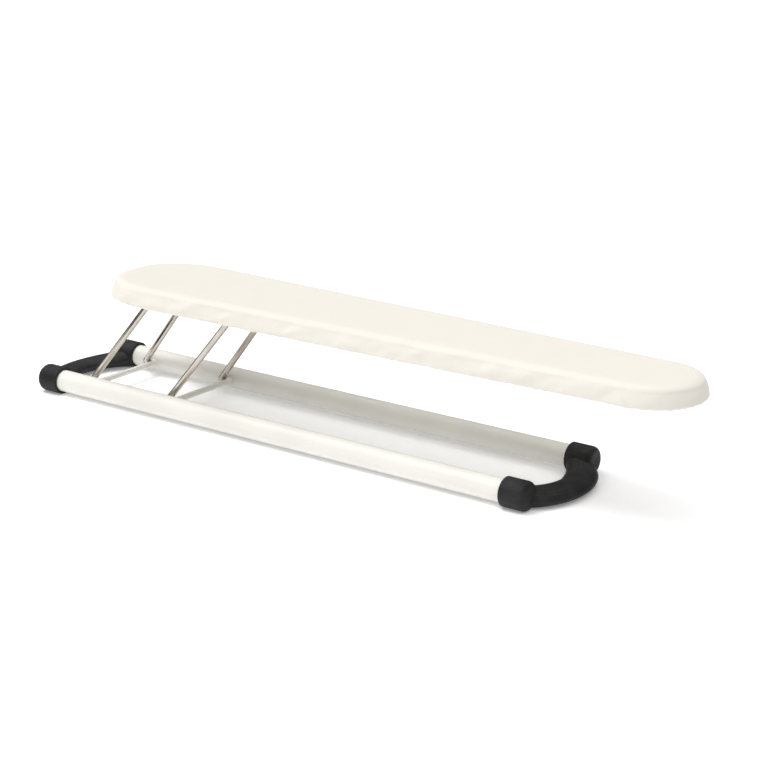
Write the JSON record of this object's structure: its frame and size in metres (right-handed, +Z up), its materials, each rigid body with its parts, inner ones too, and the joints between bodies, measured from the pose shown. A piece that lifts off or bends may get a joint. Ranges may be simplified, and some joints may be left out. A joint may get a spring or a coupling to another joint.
{
  "type": "sleeve ironing board",
  "caption": "Tabletop sleeve ironing board: a tapered padded board carried by folding wire leg frames over a low tubular base with moulded end pieces.",
  "frame": {"origin": "middle of the whole object's footprint, on the table it stands on", "axes": "+X towards the board's narrow nose, +Y towards the back, +Z up"},
  "size_m": [0.68, 0.1308, 0.119],
  "materials": {
    "enamel": "semi-gloss ivory enamel",
    "rubber": "matte black moulding",
    "wire": "bright plated wire",
    "plate": "zinc-plated sheet",
    "rivet": "zinc-plated rivet",
    "foam": "soft foam",
    "cloth": "plain woven cotton",
    "elastic": "covered elastic cord"
  },
  "bodies": {
    "base": {"front_tube": "enamel", "rear_tube": "enamel", "left_end_piece": "rubber", "right_end_piece": "rubber", "left_crossbar": "enamel", "right_crossbar": "enamel"},
    "left_leg": {"left_leg_frame": "wire"},
    "right_leg": {"right_leg_frame": "wire"},
    "board": {"board_plate": "enamel", "foam_pad": "foam", "cover": "cloth", "hem_elastic": "elastic", "left_front_saddle": "plate", "left_front_rivet_a": "rivet", "left_front_rivet_b": "rivet", "left_rear_saddle": "plate", "left_rear_rivet_a": "rivet", "left_rear_rivet_b": "rivet", "right_front_saddle": "plate", "right_front_rivet_a": "rivet", "right_front_rivet_b": "rivet", "right_rear_saddle": "plate", "right_rear_rivet_a": "rivet", "right_rear_rivet_b": "rivet"}
  },
  "joints": [
    {"name": "fold", "type": "hinge", "parent": "base", "child": "left_leg", "pos_m": [-0.2743, 0, 0.0125], "axis": [0, -1, 0], "range_deg": [0, 118.4]},
    {"name": "right_leg_swing", "type": "hinge", "parent": "base", "child": "right_leg", "pos_m": [-0.1791, 0, 0.0125], "axis": [0, -1, 0], "range_deg": [0, 118.4]},
    {"name": "board_level", "type": "hinge", "parent": "left_leg", "child": "board", "pos_m": [-0.19711, 0, 0.1085], "axis": [0, -1, 0], "range_deg": [-118.4, 0]}
  ],
  "couplings": [
    {"joint": "right_leg_swing", "follows": "fold", "ratio": 1},
    {"joint": "board_level", "follows": "fold", "ratio": -1}
  ]
}
